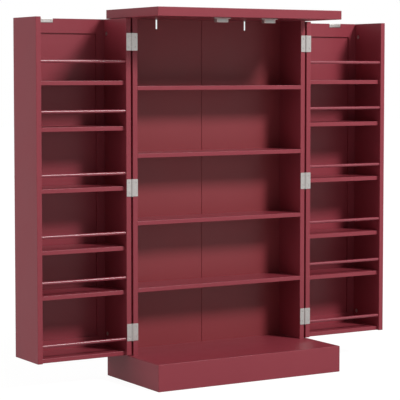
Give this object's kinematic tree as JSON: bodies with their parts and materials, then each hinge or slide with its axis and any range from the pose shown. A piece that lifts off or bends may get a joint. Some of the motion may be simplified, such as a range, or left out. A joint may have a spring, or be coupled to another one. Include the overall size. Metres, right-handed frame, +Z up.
{
  "type": "kitchen hutch",
  "caption": "Free-standing painted kitchen hutch with an open shelved carcass on a plinth and deep rack doors, with rods across the racks, folded fully back on butt hinges.",
  "frame": {"origin": "on the floor, in the middle of the space that the hutch takes up with its doors open at rest", "axes": "+Z up, -Y out of the open front, X across the hutch from the left door to the right door"},
  "size_m": [1.1656, 0.333, 1.04],
  "materials": {
    "painted_board": "fibreboard with a satin burgundy paint",
    "painted_hardboard": "thin hardboard with a satin burgundy paint",
    "lacquered_rod": "turned wood with a glossy burgundy lacquer",
    "zinc_steel": "zinc plated",
    "catch_plastic": "moulded grey",
    "magnet": "dark ferrite with steel poles",
    "knob_nickel": "satin nickel",
    "beech_dowel": "bare beech"
  },
  "bodies": {
    "cabinet": {"back_seam_batten": "painted_board", "cabinet_dowels": "beech_dowel", "cabinet_screws": "zinc_steel", "catch_housings": "catch_plastic", "catch_magnets": "magnet", "deck_board": "painted_board", "hinge_frame_leaves": "zinc_steel", "hinge_pins": "zinc_steel", "left_back_panel": "painted_hardboard", "left_side_panel": "painted_board", "plinth_back_board": "painted_board", "plinth_front_board": "painted_board", "plinth_left_board": "painted_board", "plinth_right_board": "painted_board", "right_back_panel": "painted_hardboard", "right_side_panel": "painted_board", "shelf_1": "painted_board", "shelf_2": "painted_board", "shelf_3": "painted_board", "shelf_4": "painted_board", "top_board": "painted_board"},
    "left_door": {"left_door_bottom_board": "painted_board", "left_door_bottom_rail": "painted_board", "left_door_dowels": "beech_dowel", "left_door_fasteners": "zinc_steel", "left_door_free_side": "painted_board", "left_door_free_stile": "painted_board", "left_door_hinge_leaves": "zinc_steel", "left_door_hinge_side": "painted_board", "left_door_hinge_stile": "painted_board", "left_door_knob": "knob_nickel", "left_door_panel": "painted_board", "left_door_rods": "lacquered_rod", "left_door_shelf_1": "painted_board", "left_door_shelf_2": "painted_board", "left_door_shelf_3": "painted_board", "left_door_shelf_4": "painted_board", "left_door_shelf_5": "painted_board", "left_door_strike_plate": "zinc_steel", "left_door_top_rail": "painted_board"},
    "right_door": {"right_door_bottom_board": "painted_board", "right_door_bottom_rail": "painted_board", "right_door_dowels": "beech_dowel", "right_door_fasteners": "zinc_steel", "right_door_free_side": "painted_board", "right_door_free_stile": "painted_board", "right_door_hinge_leaves": "zinc_steel", "right_door_hinge_side": "painted_board", "right_door_hinge_stile": "painted_board", "right_door_knob": "knob_nickel", "right_door_panel": "painted_board", "right_door_rods": "lacquered_rod", "right_door_shelf_1": "painted_board", "right_door_shelf_2": "painted_board", "right_door_shelf_3": "painted_board", "right_door_shelf_4": "painted_board", "right_door_shelf_5": "painted_board", "right_door_strike_plate": "zinc_steel", "right_door_top_rail": "painted_board"}
  },
  "joints": [
    {"name": "left_door_hinge", "type": "hinge", "parent": "cabinet", "child": "left_door", "pos_m": [-0.2919, -0.00415, 0.545], "axis": [0, 0, 1], "range_deg": [0, 180]},
    {"name": "right_door_hinge", "type": "hinge", "parent": "cabinet", "child": "right_door", "pos_m": [0.2919, -0.00415, 0.545], "axis": [0, 0, -1], "range_deg": [0, 180]}
  ]
}
